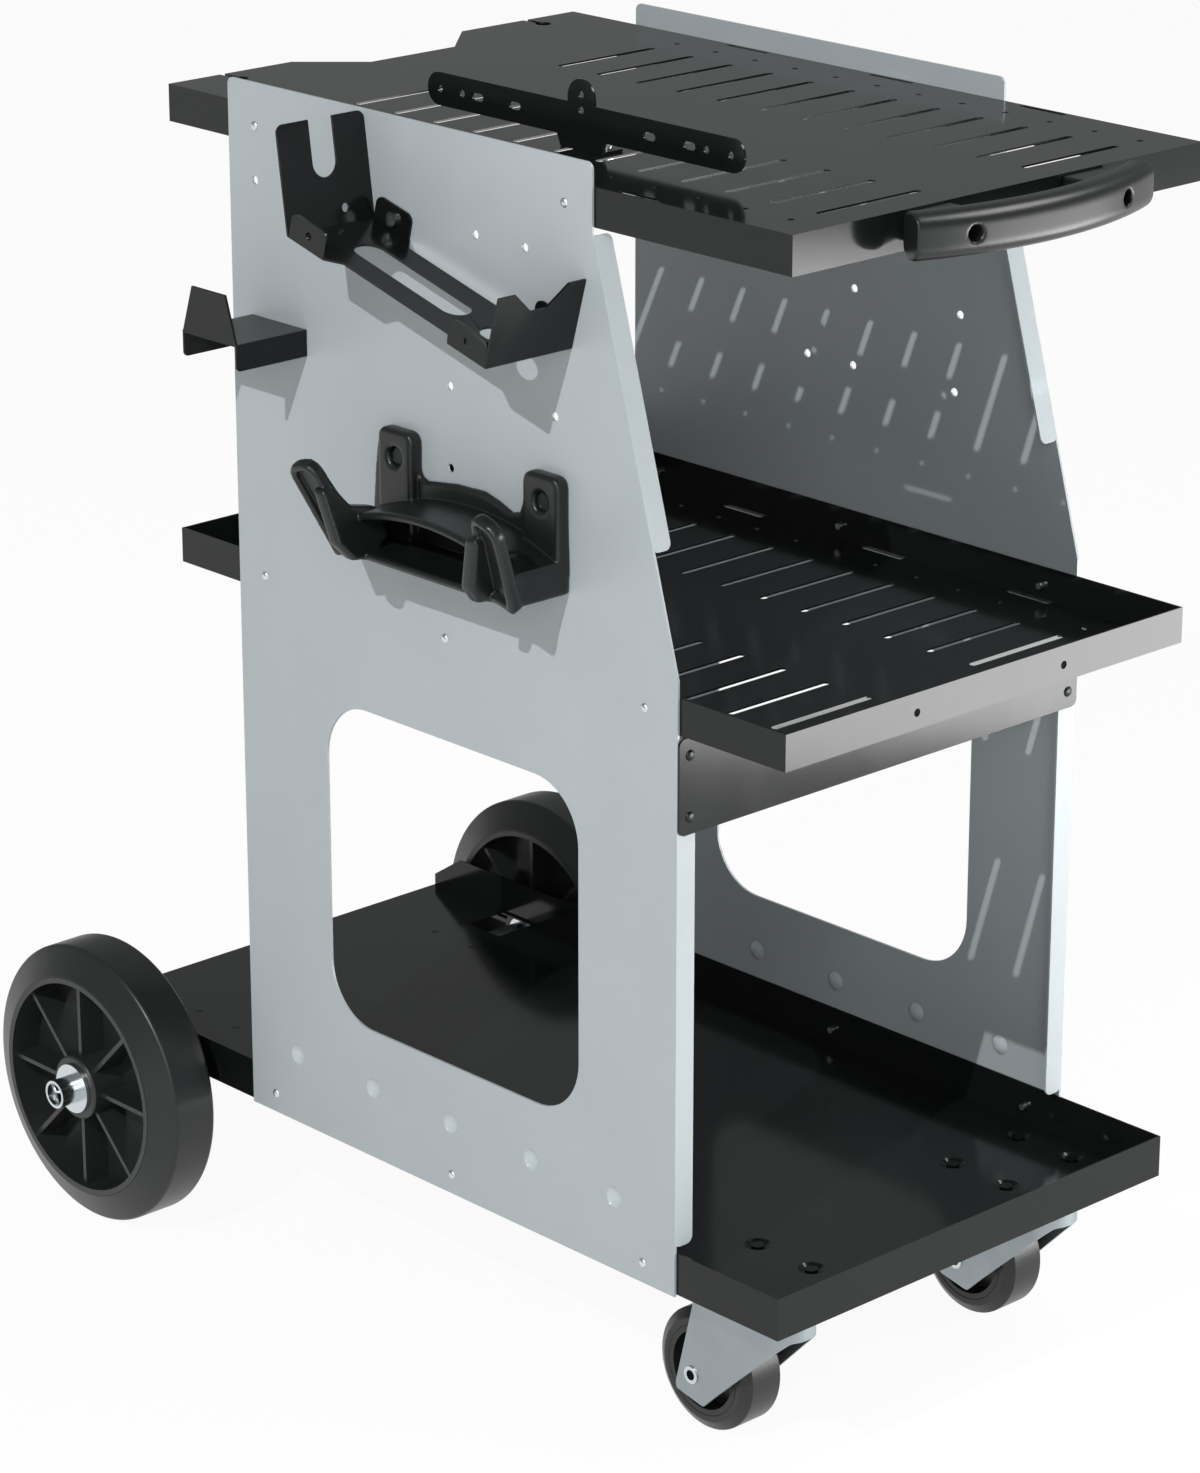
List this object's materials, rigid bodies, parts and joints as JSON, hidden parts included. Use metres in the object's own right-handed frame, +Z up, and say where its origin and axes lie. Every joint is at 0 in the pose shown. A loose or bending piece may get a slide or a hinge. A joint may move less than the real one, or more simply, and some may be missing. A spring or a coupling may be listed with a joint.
{
  "type": "welding cart",
  "caption": "Sheet metal welding cart with slotted trays between windowed side panels, swivel casters, large rear wheels, a pull handle and side brackets.",
  "frame": {"origin": "centre of the cart's box on the floor", "axes": "+Z up, -Y towards the front where the handle is, +X towards the right panel"},
  "size_m": [0.644, 0.97, 1.066],
  "materials": {
    "panel_paint": "satin light grey powder coat",
    "tray_paint": "gloss black powder coat",
    "cross_paint": "satin light grey powder coat",
    "bracket_paint": "gloss black powder coat",
    "screw_zinc": "zinc plated",
    "moulded_black": "satin moulded black plastic",
    "axle_zinc": "bright zinc plated",
    "tyre_rubber": "black rubber with a soft sheen",
    "rim_plastic": "black moulded plastic",
    "caster_steel": "pressed steel, zinc plated",
    "caster_rubber": "dark rubber",
    "caster_plastic": "grey plastic"
  },
  "bodies": {
    "frame": {"left_side_panel": "panel_paint", "right_side_panel": "panel_paint", "top_tray": "tray_paint", "middle_tray": "tray_paint", "bottom_tray": "tray_paint", "front_cross_plate": "cross_paint", "torch_bracket": "bracket_paint", "hook_bracket": "bracket_paint", "retaining_bar": "bracket_paint", "axle_hangers": "bracket_paint", "top_tray_screws": "screw_zinc", "middle_tray_screws": "screw_zinc", "bottom_tray_screws": "screw_zinc", "cross_plate_screws": "screw_zinc", "handle_screws": "screw_zinc", "retaining_bar_screws": "screw_zinc", "torch_bracket_screws": "screw_zinc", "hook_bracket_screws": "screw_zinc", "cable_holder_screws": "screw_zinc", "axle_hanger_screws": "screw_zinc", "caster_screws": "screw_zinc", "handle": "moulded_black", "cable_holder": "moulded_black", "rear_axle": "axle_zinc", "axle_collars": "axle_zinc", "axle_washers": "axle_zinc", "axle_pins": "axle_zinc", "caster_plate_left": "caster_steel", "caster_plate_right": "caster_steel"},
    "rear_wheel_left": {"rear_tyre_left": "tyre_rubber", "rear_rim_left": "rim_plastic"},
    "rear_wheel_right": {"rear_tyre_right": "tyre_rubber", "rear_rim_right": "rim_plastic"},
    "caster_swivel_left": {"caster_fork_left": "caster_steel", "caster_axle_left": "axle_zinc"},
    "caster_swivel_right": {"caster_fork_right": "caster_steel", "caster_axle_right": "axle_zinc"},
    "caster_wheel_left": {"caster_tyre_left": "caster_rubber", "caster_hub_left": "caster_plastic"},
    "caster_wheel_right": {"caster_tyre_right": "caster_rubber", "caster_hub_right": "caster_plastic"}
  },
  "joints": [
    {"name": "rear_wheel_left_spin", "type": "hinge", "parent": "frame", "child": "rear_wheel_left", "pos_m": [-0.265, 0.36, 0.125], "axis": [1, 0, 0], "continuous": true},
    {"name": "rear_wheel_right_spin", "type": "hinge", "parent": "frame", "child": "rear_wheel_right", "pos_m": [0.265, 0.36, 0.125], "axis": [1, 0, 0], "continuous": true},
    {"name": "caster_left_swivel", "type": "hinge", "parent": "frame", "child": "caster_swivel_left", "pos_m": [-0.154, -0.326, 0.052], "axis": [0, 0, 1], "continuous": true},
    {"name": "caster_left_wheel_spin", "type": "hinge", "parent": "caster_swivel_left", "child": "caster_wheel_left", "pos_m": [-0.154, -0.2955, 0.052], "axis": [1, 0, 0], "continuous": true},
    {"name": "caster_right_swivel", "type": "hinge", "parent": "frame", "child": "caster_swivel_right", "pos_m": [0.154, -0.326, 0.052], "axis": [0, 0, 1], "continuous": true},
    {"name": "caster_right_wheel_spin", "type": "hinge", "parent": "caster_swivel_right", "child": "caster_wheel_right", "pos_m": [0.154, -0.2955, 0.052], "axis": [1, 0, 0], "continuous": true}
  ]
}
